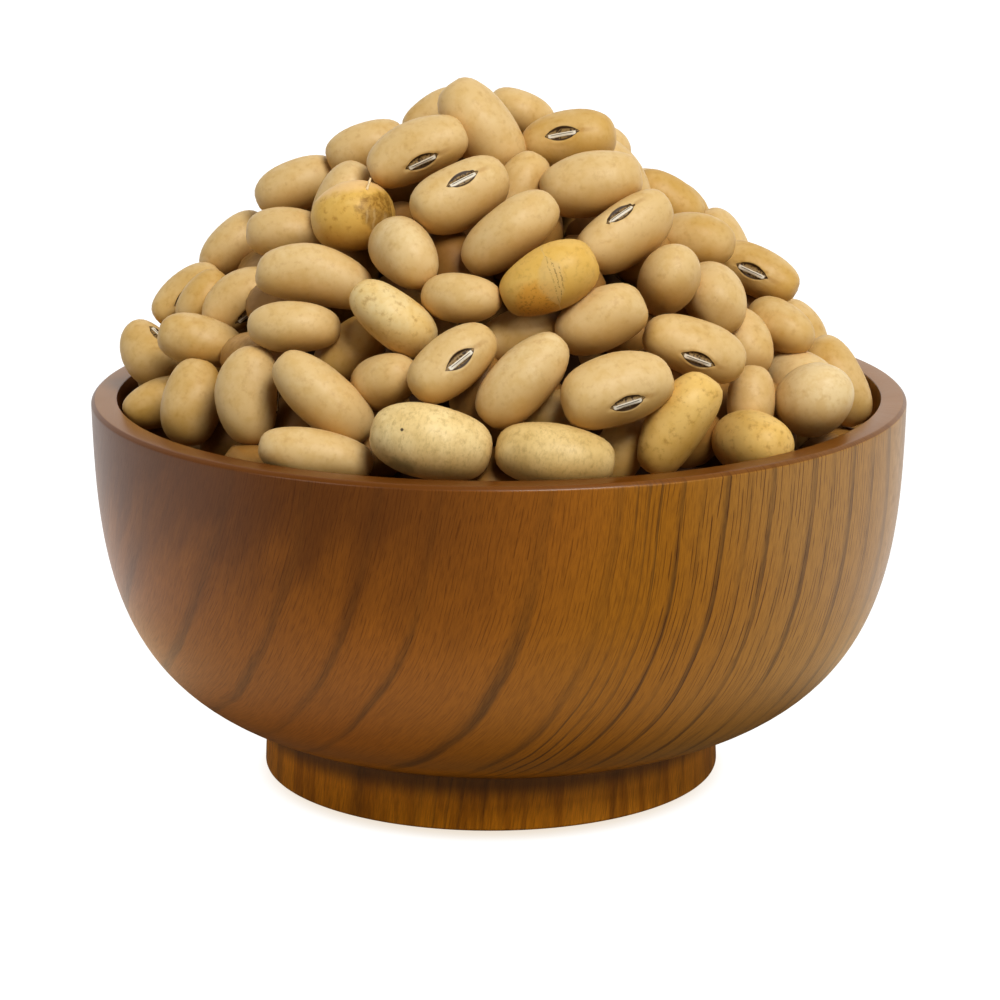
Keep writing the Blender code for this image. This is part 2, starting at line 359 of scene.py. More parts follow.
outer_top = np.array((RIM_RADIUS, BOWL_HEIGHT - RIM_CHAMFER))
chamfer_top = np.array((RIM_RADIUS - RIM_CHAMFER, BOWL_HEIGHT))
inner_top = np.array((RIM_RADIUS - RIM_WIDTH, BOWL_HEIGHT))
outer_wall = bezier(outer_top, BELLY_HANDLE, HEEL_HANDLE, HEEL_END, 48)
inner_wall = bezier(FLOOR_END, INNER_HEEL_HANDLE, INNER_HANDLE, inner_top, 32)
bowl_profile = np.vstack(
    [
        [(0.0, FLOOR_END[1])],
        inner_wall[:-1],
        rounded(inner_top, inner_wall[-2], chamfer_top, EDGE_ROUND),
        rounded(chamfer_top, inner_top, outer_top, EDGE_ROUND),
        rounded(outer_top, chamfer_top, outer_wall[1], EDGE_ROUND),
        outer_wall[1:],
        [(0.0, HEEL_END[1])],
    ]
)
foot_corner = np.array((FOOT_RADIUS, 0.0))
foot_side = np.array((FOOT_TOP_RADIUS, FOOT_TOP))
recess_radius = FOOT_RADIUS - FOOT_RING
foot_profile = np.vstack(
    [
        [(0.0, FOOT_TOP)],
        [foot_side],
        rounded(foot_corner, foot_side, np.array((recess_radius, 0.0)), FOOT_ROUND, 6),
        [(recess_radius, 0.0)],
        [(recess_radius - FOOT_RECESS, FOOT_RECESS)],
        [(0.0, FOOT_RECESS)],
    ]
)
foot = add_object("foot_block", lathe("foot_block", foot_profile, TURN_STEPS, FOOT_OFFSET))
body = add_object("body_block", lathe("body_block", bowl_profile, TURN_STEPS))
join = body.modifiers.new("Foot", "BOOLEAN")
join.operation = "UNION"
join.object = foot
bpy.context.view_layer.update()
graph = bpy.context.evaluated_depsgraph_get()
bowl_mesh = bpy.data.meshes.new_from_object(body.evaluated_get(graph))
bowl_mesh.name = "turned_bowl"
bpy.data.objects.remove(body)
bpy.data.objects.remove(foot)
bowl_mesh.shade_smooth()
bowl_mesh.set_sharp_from_angle(angle=SHARP)
bowl = add_object("turned_bowl", bowl_mesh)

# Wood. The tree's pith stood nearly upright in the right of the block, so the growth rings cross the
# wall as dark lines that sweep to the left as it rounds in. Golden near the pith, browner outwards:
# partly the wood's own colour and partly painted light, paler on the right and darker at the left.
# Pores show as thin dark dashes that follow the rings, spaced by where each ring meets the rim.
PITH = (46.3, -11.0)
PITH_LEVEL = 28.0
PITH_LEAN = (0.13, 0.015)
RING_REACH = 120.0
RING_MIDDLE = 50.0
RING_WANDER = 2.4
RING_LEAD = 0.48
LONG_PORES = (0.74, 5.0)
SHORT_PORES = (0.62, 2.2)
PORES_FROM = (13.0, 18.0)
PORES_TO = (90.0, 101.0)
PORE_SWAY = 12
LEFT_SIDE = (48.0, 62.0)
GOLD_TO_BROWN = (20.0, 85.0)
DUSK_REACH = (58.0, 84.0)
DUSK_RISE = (30.0, 54.0)
OVER_FOOT = (8.0, 14.0)
FOOT_STRIPS_END = (6.0, 9.0)
CREASE_SHADE_STARTS = (4.0, 7.0)
CREASE_SHADE_ENDS = (8.5, 12.5)
RIM_PALES = (-50.0, -10.0)
EDGE_FACES_UP = (0.35, 0.60)
RIM_FACES_UP = (0.90, 0.98)
RINGS = (
    (4.0, 0.4), (8.5, 0.4), (13.0, 0.5), (18.0, 0.6), (23.2, 0.6), (27.6, 0.3), (31.4, 0.75),
    (35.2, 0.3), (38.4, 0.8), (41.6, 0.3), (44.7, 0.8), (47.6, 0.3), (50.2, 0.8), (53.0, 1.0),
    (54.5, 1.0),
    (56.0, 0.9), (57.6, 0.6), (64.6, 0.8), (74.8, 0.7), (80.4, 0.6),
    (86.4, 0.75), (93.5, 0.7), (100.0, 0.6), (108.0, 0.7),
)
HEART_COLOUR = paint(174, 128, 58)
MIDDLE_COLOUR = paint(170, 113, 28)
OUTER_COLOUR = paint(170, 106, 33)
LATE_COLOUR = paint(84, 58, 30)
PORE_COLOUR = paint(80, 38, 6)
DUSK_COLOUR = paint(104, 60, 26)
END_GRAIN_AND_REFLECTION_COLOUR = paint(152, 102, 38)
RIM_FRONT_COLOUR = paint(112, 62, 6)
FOOT_COLOUR_AND_LIGHT = paint(244, 156, 26)
STRIP_COLOUR = paint(150, 84, 12)
CREASE_SHADE_COLOUR = paint(54, 24, 4)
EDGE_SHADE_COLOUR = paint(112, 64, 6)

wood = Finish(bpy.data.materials.new("lacquered_wood"))
place = wood.node("TexCoord", {}, {}, output="Object")
place = wood.stretch(place, (1 / MM, 1 / MM, 1 / MM))
split = wood.node("SeparateXYZ", {}, {0: place})
along_x, along_y, up = (Socket(wood, split.output.node.outputs[axis]) for axis in range(3))
rise = up - PITH_LEVEL
from_pith_x = along_x - rise * PITH_LEAN[0] - PITH[0]
from_pith_y = along_y - rise * PITH_LEAN[1] - PITH[1]
wander = wood.noise(wood.stretch(place, (1, 1, 0.5)), 0.045) - 0.5
reach = (from_pith_x**2 + from_pith_y**2) ** 0.5 + wander * RING_WANDER
stops = [(0.0, (0.0, 0.0, 0.0, 1.0))]
stops += [(r / RING_REACH, ((i + 1) / len(RINGS),) * 3 + (1.0,)) for i, (r, _) in enumerate(RINGS)]
ring_count = wood.node("ValToRGB", {"stops": stops, "interpolation": "LINEAR"}, {0: reach / RING_REACH})
ring_age = (ring_count * len(RINGS)).math("FRACT", ring_count * len(RINGS))
stops = [((r - RING_LEAD) / RING_REACH, (depth, depth, depth, 1.0)) for r, depth in RINGS]
ring_depth = wood.node("ValToRGB", {"stops": stops, "interpolation": "CONSTANT"}, {0: reach / RING_REACH})
bearing = wood.node("Math", {"operation": "ARCTAN2"}, {0: from_pith_y, 1: from_pith_x})
pith_out = math.hypot(*PITH)
rim_mm = RIM_RADIUS / MM
turn = (rim_mm**2 + pith_out**2 - reach**2) / (2 * rim_mm * pith_out)
on_rim = turn.math("ARCCOSINE", turn) * rim_mm
along_ring = wood.node("CombineXYZ", {}, {0: on_rim, 1: rise, 2: bearing * RING_MIDDLE})


def pore_lines(apart, run):
    """Thin lines that follow the rings, broken into dashes. How far apart and how long, in mm."""
    sway = wood.noise(wood.stretch(along_ring, (0.45 / apart, 0.12 / run, 0.12 / run)), 1.0, 1.0)
    turns = on_rim * (math.tau / apart) + sway * PORE_SWAY
    whole = wood.noise(wood.stretch(along_ring, (0.9 / apart, 1 / run, 1 / run)), 1.0, 0.0)
    return wood.ramp(turns.math("SINE", turns), 0.78, 0.97) * wood.ramp(whole, 0.40, 0.54)


to_left = wood.ramp(reach, *LEFT_SIDE)
crosses_rim = wood.ramp(reach, *PORES_FROM) * (1 - wood.ramp(reach, *PORES_TO))
dashes = pore_lines(*LONG_PORES) * (1 - to_left) + pore_lines(*SHORT_PORES) * to_left * 0.55
dashes = dashes * crosses_rim
fine = wood.noise(wood.stretch(along_ring, (4.4, 0.5, 0.2)), 1.0, 2.0, 0.6)
fade = wood.noise(wood.stretch(along_ring, (0.16, 0.05, 0.04)), 1.0, 2.0, 0.6)
late = wood.ramp(ring_age, 0.0, 0.06) * (1 - wood.ramp(ring_age, 0.08, 0.40 - to_left * 0.15)) * ring_depth
late = late * (wood.ramp(fade, 0.30, 0.60) * 0.6 + 0.4) * (wood.ramp(up, 6.0, 16.0) * 0.6 + 0.4)
late = late * (1 - to_left * wood.ramp(up, 24.0, 48.0) * 0.75)
# Golden to brown away from the pith: the wood's own colour, and painted light, paler on the right where the
# pith is.
drift_and_light = wood.ramp(reach + (wood.noise(place, 0.03) - 0.5) * 20, *GOLD_TO_BROWN)
early = wood.blend(wood.ramp(drift_and_light, 0.0, 0.5), HEART_COLOUR, MIDDLE_COLOUR)
early = wood.blend(wood.ramp(drift_and_light, 0.5, 1.0), early, OUTER_COLOUR)
# Darker brown high on the wall far from the pith, at the upper left: partly the wood's own colour and
# partly painted shade.
dusk = wood.ramp(reach, *DUSK_REACH) * wood.ramp(up + (fade - 0.5) * 30, *DUSK_RISE)
early = wood.blend(dusk * 0.80, early, DUSK_COLOUR)
# Bright orange low on the body and on the foot: the wood's own colour, made brighter as painted light where
# the body's overhang shades it.
early = wood.blend((1 - wood.ramp(up, *OVER_FOOT)) * 0.75, early, FOOT_COLOUR_AND_LIGHT)
strips = wood.noise(wood.stretch(place, (0.30, 0.30, 0.02)), 1.0, 3.0, 0.65)
on_foot = 1 - wood.ramp(up, *FOOT_STRIPS_END)
early = wood.blend(on_foot * wood.ramp(strips, 0.42, 0.62) * 0.55, early, STRIP_COLOUR)
grain = wood.blend(late * (0.66 + fine * 0.5), early, LATE_COLOUR)
grain = wood.blend((fine - 0.5) * 0.9 + 0.10, grain, PORE_COLOUR)
pore_share = wood.ramp(up, 8.0, 40.0) * 0.52 + 0.24 + late * 0.35
grain = wood.blend(dashes * pore_share, grain, PORE_COLOUR)
facing = wood.node("SeparateXYZ", {}, {0: wood.node("TexCoord", {}, {}, output="Normal")})
facing_up = Socket(wood, facing.output.node.outputs[2])
# Dark orange-brown where the surface slopes half up, as on the rim's chamfer: painted shade.
grain = wood.blend(wood.ramp(facing_up, *EDGE_FACES_UP) * 0.80, grain, EDGE_SHADE_COLOUR)
# The rim's top is end grain, darker in front and paler towards the back, where painted reflection of the
# bright room lightens it.
rim_colour_and_reflection = wood.blend(wood.ramp(along_y, *RIM_PALES), RIM_FRONT_COLOUR, END_GRAIN_AND_REFLECTION_COLOUR)
grain = wood.blend(wood.ramp(facing_up, *RIM_FACES_UP) * 0.80, grain, rim_colour_and_reflection)
# Painted shade in the crease where the body meets the foot.
crease_shade = wood.ramp(up, *CREASE_SHADE_STARTS) * (1 - wood.ramp(up, *CREASE_SHADE_ENDS))
grain = wood.blend(crease_shade * 0.70, grain, CREASE_SHADE_COLOUR)
relief = wood.node("Bump", {}, {"Strength": 0.10, "Distance": 0.1 * MM, "Height": 1 - dashes})
wood.set(Base_Color=grain, Roughness=0.27 + fine * 0.10, Normal=relief, IOR=1.4)
bowl_mesh.materials.clear()
bowl_mesh.materials.append(wood.material)
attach(bowl, "root")
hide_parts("bowl")


# Heap. The beans' tops follow an even dome over the rim, and the beans under them fill the bowl.
# Those that the photograph shows are listed one by one, from the top down.
HEAP_RADIUS = 55.8 * MM
HEAP_RISE = 46.0 * MM
HEAP_POWER = 1.8
SIGHT_STEPS = np.linspace(0.36, 0.56, 900)
THICKNESS = (0.88, 0.96)
draw = random.Random(7)


def heap_top(radius):
    """The height of the beans' tops at a distance from the axis."""
    return BOWL_HEIGHT + HEAP_RISE * (1 - np.minimum(1.0, radius / HEAP_RADIUS) ** HEAP_POWER)


def heap_slope(radius):
    """How steeply the tops fall at a distance from the axis."""
    share = np.clip(radius / HEAP_RADIUS, 1e-6, 1.0)
    return HEAP_RISE * HEAP_POWER / HEAP_RADIUS * share ** (HEAP_POWER - 1)


def unit(vector):
    return vector / np.linalg.norm(vector)


def turned_about(vector, axis, angle):
    """A vector turned about a unit axis."""
    turned = vector * math.cos(angle) + np.cross(axis, vector) * math.sin(angle)
    return turned + axis * (axis @ vector) * (1 - math.cos(angle))


class Bean:
    """One bean: its size in mm, its centre, and its axes: along it, away from its eye, and through it."""

    def __init__(self, size, centre, axes, kind="tan", tone=0.0, line=None, level=0, cover=0.0):
        self.size = np.array(size)
        self.centre = np.array(centre)
        self.start = np.array(centre)
        self.axes = np.array(axes)
        self.kind = kind
        self.tone = tone
        self.line = line
        self.level = level
        self.cover = cover


def axes_from(along, eye):
    """A bean's axes from the directions of its length and of its eye."""
    away = unit(-(eye - along * (along @ eye)))
    return along, away, np.cross(along, away)


def on_dome(line, depth):
    """Where a line of sight meets the dome of the bean centres, that far under the tops."""
    steps = LENS_AT + SIGHT_STEPS[:, None] * line
    radius = np.hypot(steps[:, 0], steps[:, 1])
    under = (heap_top(radius) - steps[:, 2]) / np.sqrt(1 + heap_slope(radius) ** 2) - depth
    under = np.where(radius < HEAP_RADIUS, under, -1.0)
    return steps[np.argmax(under > 0)] if under.max() > 0 else steps[np.argmax(under)]


beans = []


def front_bean(x, y, lean, size, turn=0, eye=180, deep=4.4, kind="tan", tone=0.0, at_y=None):
    """A bean that the photograph shows: the pixel of its centre, its lean in the picture, its length and
    width, how far its right end turns to the camera, how far round its eye is, and its depth, in mm. One
    at the heap's edge, where the line of sight may miss the dome, has its place along Y instead."""
    line = sight(x, y)
    towards = -line
    level = unit(LENS_RIGHT - line * (line @ LENS_RIGHT))
    upright = np.cross(level, line)
    flat = level * math.cos(math.radians(lean)) + upright * math.sin(math.radians(lean))
    along = flat * math.cos(math.radians(turn)) + towards * math.sin(math.radians(turn))
    facing = unit(towards - along * (along @ towards))
    facing = turned_about(facing, along, math.radians(eye))
    length, width = size
    thick = width * draw.uniform(*THICKNESS)
    if at_y is None:
        centre = on_dome(line, deep * MM)
    else:
        centre = LENS_AT + line * (at_y * MM - LENS_AT[1]) / line[1]
    beans.append(Bean((length, width, thick), centre, axes_from(along, facing), kind, tone, line))


# Their tones are partly the beans' own and partly painted shade and light: darker for some that lie in
# shade, paler for some in light.
front_bean(x=482, y=128, lean=-53, size=(15.6, 10.2), eye=200, deep=4.6)
front_bean(x=417, y=151, lean=25, size=(14.9, 9.3), eye=23, deep=4.0)
front_bean(x=366, y=147, lean=20, size=(12.0, 7.6), at_y=2, tone=0.2)
front_bean(x=459, y=196, lean=25, size=(14.6, 10.2), turn=-20, eye=-25, deep=3.6)
front_bean(x=510, y=233, lean=38, size=(15.5, 8.8), eye=170, deep=4.0, tone=-0.1)
front_bean(x=404, y=254, lean=-40, size=(13.5, 9.3), turn=58, eye=150, deep=5.0, tone=-0.4)
front_bean(x=352, y=217, lean=13, size=(11.6, 11.0), turn=18, eye=170, deep=3.8, kind="wrinkled")
front_bean(x=298, y=185, lean=22, size=(13.2, 8.4), deep=5.4, tone=0.1)
front_bean(x=290, y=234, lean=-3, size=(12.8, 8.6), deep=4.4, tone=0.1)
front_bean(x=234, y=245, lean=45, size=(12.2, 7.8), at_y=5, tone=0.2)
front_bean(x=315, y=278, lean=-11, size=(16.5, 8.5), eye=110, deep=3.6, tone=-0.2)
front_bean(x=393, y=318, lean=-38, size=(13.6, 8.6), deep=4.2, kind="yellow", tone=-0.8)
front_bean(x=461, y=298, lean=-3, size=(11.5, 7.6), turn=25, deep=5.0, tone=0.1)
front_bean(x=240, y=300, lean=36, size=(12.2, 8.0), eye=42, deep=4.8, tone=0.3)
front_bean(x=294, y=327, lean=-2, size=(13.0, 8.0), deep=3.4)
front_bean(x=187, y=294, lean=38, size=(11.8, 7.4), eye=5, at_y=2, tone=0.5)
front_bean(x=203, y=299, lean=55, size=(9.6, 6.8), at_y=-5, tone=0.8)
front_bean(x=151, y=354, lean=-50, size=(11.2, 8.2), turn=32, eye=-50, at_y=-3, tone=0.5)
front_bean(x=200, y=341, lean=-12, size=(12.2, 8.0), at_y=-13, tone=0.6)
front_bean(x=160, y=403, lean=20, size=(11.0, 7.6), at_y=-12, tone=0.8)
front_bean(x=192, y=402, lean=80, size=(12.4, 8.8), at_y=-23, tone=0.6)
front_bean(x=249, y=395, lean=87, size=(13.8, 8.8), eye=80, deep=4.0, tone=0.1)
front_bean(x=323, y=398, lean=-42, size=(16.4, 8.6), deep=3.8)
front_bean(x=385, y=381, lean=20, size=(12.0, 8.4), turn=65, deep=5.4, tone=0.1)
front_bean(x=452, y=363, lean=38, size=(13.6, 9.1), turn=-16, eye=4, deep=4.0)
front_bean(x=523, y=380, lean=47, size=(15.4, 9.4), deep=3.6, tone=-0.5)
front_bean(x=520, y=335, lean=20, size=(13.0, 8.2), deep=9.0, tone=0.5)
front_bean(x=549, y=279, lean=26, size=(14.0, 9.4), deep=3.6, kind="scarred")
front_bean(x=601, y=320, lean=25, size=(13.0, 9.4), eye=160, deep=5.0)
front_bean(x=616, y=390, lean=17, size=(15.4, 10.4), turn=-14, eye=27, deep=4.0)
front_bean(x=678, y=424, lean=57, size=(15.4, 8.6), eye=150, deep=3.4, kind="yellow", tone=0.4)
front_bean(x=694, y=348, lean=-20, size=(14.8, 8.8), turn=-16, eye=18, deep=3.8, tone=0.3)
front_bean(x=742, y=342, lean=-60, size=(11.6, 8.8), turn=50, at_y=-18, tone=0.2)
front_bean(x=714, y=297, lean=-60, size=(12.0, 9.6), turn=62, at_y=-15)
front_bean(x=668, y=281, lean=60, size=(13.6, 9.4), turn=66, deep=4.4)
front_bean(x=625, y=233, lean=35, size=(15.2, 9.4), turn=-18, eye=-37, deep=4.0)
front_bean(x=591, y=184, lean=12, size=(14.6, 9.6), deep=4.4)
front_bean(x=614, y=177, lean=-50, size=(13.0, 9.0), deep=8.0, tone=0.1)
front_bean(x=569, y=141, lean=10, size=(13.8, 9.8), turn=11, eye=-16, deep=5.0, tone=0.8)
front_bean(x=521, y=114, lean=-25, size=(10.4, 7.4), at_y=6, tone=0.3)
front_bean(x=668, y=200, lean=-33, size=(11.6, 7.6), at_y=6, tone=0.9)
front_bean(x=694, y=240, lean=-8, size=(11.6, 8.6), turn=15, at_y=-9, tone=0.6)
front_bean(x=722, y=241, lean=-55, size=(10.4, 7.4), at_y=8, tone=0.1)
front_bean(x=757, y=272, lean=-25, size=(13.2, 7.9), turn=12, eye=3, at_y=-4, tone=0.8)
front_bean(x=780, y=326, lean=-30, size=(11.0, 7.9), turn=30, deep=5.0, tone=0.5)
front_bean(x=800, y=331, lean=-55, size=(10.0, 7.4), at_y=6, tone=0.4)
front_bean(x=838, y=381, lean=-62, size=(14.2, 8.3), at_y=-6, tone=0.5)
front_bean(x=797, y=380, lean=-20, size=(13.0, 9.6), turn=50, at_y=-16, tone=-0.3)
front_bean(x=815, y=399, lean=30, size=(13.5, 11.0), turn=74, deep=3.2, tone=-1.0)
front_bean(x=751, y=402, lean=85, size=(10.4, 7.6), deep=7.0, tone=0.3)
front_bean(x=753, y=443, lean=-10, size=(12.6, 9.4), turn=50, deep=4.4, kind="yellow", tone=0.2)
front_bean(x=622, y=447, lean=60, size=(12.0, 8.2), deep=9.0, tone=0.9)
front_bean(x=555, y=456, lean=-8, size=(16.2, 9.6), deep=4.0, kind="mottled", tone=0.6)
front_bean(x=431, y=442, lean=-12, size=(16.6, 10.8), deep=3.6, kind="stained", tone=-0.4)
front_bean(x=316, y=455, lean=-10, size=(15.8, 7.8), deep=4.4, tone=-0.1)
front_bean(x=350, y=350, lean=40, size=(12.0, 8.0), deep=10.0, tone=0.9)
front_bean(x=553, y=415, lean=10, size=(11.0, 7.6), deep=11.0, tone=0.6)
front_bean(x=438, y=117, lean=30, size=(11.0, 7.6), at_y=7, tone=0.3)
front_bean(x=520, y=188, lean=60, size=(11.0, 7.6), deep=9.0, tone=0.3)
front_bean(x=344, y=199, lean=60, size=(11.4, 8.6), deep=5.5, tone=-0.2)

# Beans that the photograph doesn't show follow a spiral over the back and sides of the dome, and a row
# along the wall. Under all of these, layers fill wherever there is room. Those at the heap's back
# edge stay below the outline that the photograph shows, which is given as pixels from left to right.
BEAN_SIZE = np.array((13.8, 9.0, 8.2))
BEAN_SPREAD = 0.10
BEAN_TONES = (-0.6, 0.9)
GOLDEN_ANGLE = math.pi * (3 - math.sqrt(5))
DOME_COUNT = 118
DOME_RADIUS = 50.0 * MM
DOME_DEPTH = 4.6
WALL_ROWS = ((50.4, 0.4, 26, 0), (49.8, -7.6, 24, 1))
FILLS = ((1, 11.4, 7.3), (2, 18.2, 8.2))
FILL_SPOTS = 3000
WALL_FILL = (49.8, -5.6, 120)
SHOWN_SPACE = 7.6 * MM
BARE_WALL = 0.2
FACES_CAMERA = 0.10
MOST_COVER = 9
EDGE_SPACE = 42
EDGE_PIXELS_PER_MM = 6.9
OUTLINE = (
    (120, 352), (160, 290), (208, 250), (262, 192), (330, 140), (400, 110), (437, 90), (480, 80),
    (545, 95), (610, 120), (645, 165), (690, 190), (735, 215), (790, 265), (815, 320), (865, 370),
)


def picture_place(point):
    """The pixel at which the camera sees a point."""
    away = point - LENS_AT
    ahead = away @ LENS_AHEAD / FOCAL_PIXELS
    return PICTURE / 2 + away @ LENS_RIGHT / ahead, PICTURE / 2 - away @ LENS_UP / ahead


def random_size():
    return BEAN_SIZE * [draw.uniform(1 - BEAN_SPREAD, 1 + BEAN_SPREAD) for _ in range(3)]


def spiral(count, outermost):
    """Bearings and radii that share the dome's area evenly among a number of places."""
    radius = outermost * (np.arange(400) + 0.5) / 400
    area = np.cumsum(radius * np.sqrt(1 + heap_slope(radius) ** 2))
    wanted = area[-1] * (np.arange(count) + 0.5) / count
    return zip(np.arange(count) * GOLDEN_ANGLE, np.interp(wanted, area, radius))


def dome_place(bearing, radius):
    """A place on the tops, and the direction straight out of the dome there."""
    outward = np.array((math.cos(bearing), math.sin(bearing), 0.0))
    normal = unit(outward * heap_slope(radius) + np.array((0.0, 0.0, 1.0)))
    return outward * radius + np.array((0.0, 0.0, float(heap_top(radius)))), normal


def random_axes(normal):
    """The axes of a bean that lies about flat on a surface, any way round."""
    start = unit(np.cross(normal, (0.3, 0.5, 0.8)))
    along = turned_about(start, normal, draw.uniform(0, math.tau))
    along = unit(along + normal * draw.uniform(-0.45, 0.45))
    side = unit(np.cross(normal, along))
    return axes_from(along, turned_about(side, along, draw.uniform(0, math.tau)))


def room_at(centre):
    """How far a place is from the nearest bean's centre."""
    return min(np.linalg.norm(bean.centre - centre) for bean in beans)


for bearing, radius in spiral(DOME_COUNT, DOME_RADIUS):
    top, normal = dome_place(bearing, radius)
    size, axes, tone = random_size(), random_axes(normal), draw.uniform(*BEAN_TONES)
    if unit(LENS_AT - top) @ normal > FACES_CAMERA:
        continue
    x, y = picture_place(top - normal * DOME_DEPTH * MM)
    edge = np.interp(x, [p[0] for p in OUTLINE], [p[1] for p in OUTLINE])
    cover = max(0.0, (edge + EDGE_SPACE - y) / EDGE_PIXELS_PER_MM)
    centre = top - normal * (DOME_DEPTH + cover) * MM
    if cover < MOST_COVER and room_at(centre) > SHOWN_SPACE:
        beans.append(Bean(size, centre, axes, "tan", tone, None, 0, cover))
for radius, lift, count, level in WALL_ROWS:
    for k in range(count):
        bearing = (k + draw.uniform(-0.2, 0.2)) * math.tau / count + level * 0.1
        size, tone = random_size(), draw.uniform(*BEAN_TONES)
        along = unit(np.array((-math.sin(bearing), math.cos(bearing), draw.uniform(-0.4, 0.4))))
        eye = turned_about(np.array((0.0, 0.0, 1.0)), along, draw.uniform(0, math.tau))
        place = (radius * math.cos(bearing), radius * math.sin(bearing), lift)
        centre = np.array(place) * MM + (0, 0, BOWL_HEIGHT)
        in_front = level == 0 and math.sin(bearing) < BARE_WALL
        if room_at(centre) > SHOWN_SPACE and not in_front:
            beans.append(Bean(size, centre, axes_from(along, eye), "tan", tone, None, level))

# Settling. Each bean is stood for by a chain of balls, and beans that overlap are pushed apart. A bean
# that the photograph shows moves only along its line of sight, so it stays where the picture has it.
CHAIN = (-1.0, -0.5, 0.0, 0.5, 1.0)
CHAIN_GIRTH = (0.76, 0.94, 0.98, 0.94, 0.76)
SETTLE_STEPS = (60, 50, 60)
PAIR_STEPS = 8
PAIR_REACH = 18 * MM
SHOWN_YIELD = 1.6
HIDDEN_YIELD = 0.7
DOME_YIELD = 0.6
SHOWN_TRAVEL = 4.0 * MM
HIDDEN_COVER = 3.0
WALL_CLEARANCE = 0.35 * MM


def inner_radius(height):
    """The bowl's inner radius at a height."""
    return np.interp(height, inner_wall[:, 1], inner_wall[:, 0])


def settle(steps):
    """Pushes overlapping beans apart, and keeps them under the dome and inside the wall."""
    centres = np.array([bean.centre for bean in beans])
    starts = np.array([bean.start for bean in beans])
    sizes = np.array([bean.size for bean in beans]) * MM
    directions = np.array([bean.axes[0] for bean in beans])
    girths = (sizes[:, 1] + sizes[:, 2]) / 4
    reaches = sizes[:, 0] / 2 - girths * CHAIN_GIRTH[0]
    chains = directions[:, None, :] * (reaches[:, None] * CHAIN)[:, :, None]
    balls = girths[:, None] * CHAIN_GIRTH
    is_shown = np.array([bean.line is not None for bean in beans])
    lines = np.array([bean.line if bean.line is not None else (0, 0, 0) for bean in beans])
    covers = np.array([bean.cover + HIDDEN_COVER * (bean.level > 0) for bean in beans]) * MM
    for step in range(steps):
        if step % PAIR_STEPS == 0:
            spread = np.linalg.norm(centres[:, None] - centres[None], axis=2)
            first, second = np.nonzero(np.triu(spread < PAIR_REACH, 1))
        points = centres[:, None] + chains
        between = points[first][:, :, None] - points[second][:, None, :]
        apart = np.linalg.norm(between, axis=3)
        overlap = (balls[first][:, :, None] + balls[second][:, None, :] - apart).reshape(len(first), -1)
        worst = overlap.argmax(axis=1)
        rows = np.arange(len(first))
        depth = np.maximum(0, overlap[rows, worst])
        way = between.reshape(len(first), -1, 3)[rows, worst]
        way /= np.maximum(1e-9, np.linalg.norm(way, axis=1))[:, None]
        share = np.where(is_shown[first] == is_shown[second], 0.5, np.where(is_shown[first], 0.0, 1.0))
        shift = np.zeros_like(centres)
        np.add.at(shift, first, way * (depth * share)[:, None])
        np.add.at(shift, second, -way * (depth * (1 - share))[:, None])
        along_line = (shift * lines).sum(axis=1)[:, None] * lines
        centres += np.where(is_shown[:, None], along_line * SHOWN_YIELD, shift * HIDDEN_YIELD)
        travel = ((centres - starts) * lines).sum(axis=1).clip(-SHOWN_TRAVEL, SHOWN_TRAVEL)
        centres = np.where(is_shown[:, None], starts + travel[:, None] * lines, centres)

        points = centres[:, None] + chains
        radius = np.hypot(points[:, :, 0], points[:, :, 1])
        slope = heap_slope(radius)
        under = (heap_top(radius) - points[:, :, 2]) / np.sqrt(1 + slope**2) - balls - covers[:, None]
        sunk = np.minimum(0, under.min(axis=1))
        distance = np.hypot(centres[:, 0], centres[:, 1])
        outward = centres * (1, 1, 0) / np.maximum(1e-6, distance)[:, None]
        steepness = heap_slope(distance)[:, None]
        normal = (outward * steepness + (0, 0, 1)) / np.sqrt(1 + steepness**2)
        centres += np.where(is_shown[:, None], 0, normal * sunk[:, None] * DOME_YIELD)
        low = points[:, :, 2] - balls * 0.6 < BOWL_HEIGHT
        wall = inner_radius(np.minimum(points[:, :, 2], BOWL_HEIGHT)) - WALL_CLEARANCE
        crossing = np.where(low, np.minimum(0, wall - radius - balls), 0).min(axis=1)
        centres += outward * crossing[:, None]
    for bean, centre in zip(beans, centres):
        bean.centre = centre


settle(SETTLE_STEPS[0])
for (level, depth, space), steps in zip(FILLS, SETTLE_STEPS[1:]):
    spots = []
    for bearing, radius in spiral(FILL_SPOTS, DOME_RADIUS):
        top, normal = dome_place(bearing, radius)
        spots.append((top - normal * depth * MM, normal))
    wall_radius, wall_drop, wall_spots = WALL_FILL
    for bearing in np.arange(wall_spots) * math.tau / wall_spots:
        outward = np.array((math.cos(bearing), math.sin(bearing), 0.0))
        height = np.array((0.0, 0.0, BOWL_HEIGHT + level * wall_drop * MM))
        spots.append((outward * wall_radius * MM + height, outward))
    for centre, normal in spots:
        if room_at(centre) > space * MM:
            tone = draw.uniform(*BEAN_TONES)
            beans.append(Bean(random_size(), centre, random_axes(normal), "tan", tone, None, level))
    settle(steps)

# Bean. A dry seed in a thin, slightly glossy coat: long, oval, a little hollow on one side. The eye
# is in the hollow: a lens-shaped scar, dark at its edge, with a pale slit ridge in the middle.
EYE_LENGTH = 2.6
EYE_WIDTH = 0.95
BAR_LENGTH = 2.1
BAR_WIDTH = 0.29
BAR_SHIFT = -0.16
LIP_RISE = 0.10
HOLLOW_DEPTH = 0.34
BAR_RISE = 0.30
FULLNESS = (0.62, 0.78)
BEND = (0.3, 1.1)
TAPER = (-0.07, 0.07)
LUMP_RISE = 0.10
BEAN_RINGS = {True: 28, False: 12}
BEAN_SPOKES = {True: 36, False: 16}
RING_CROWDING = {True: 1.9, False: 1.3}


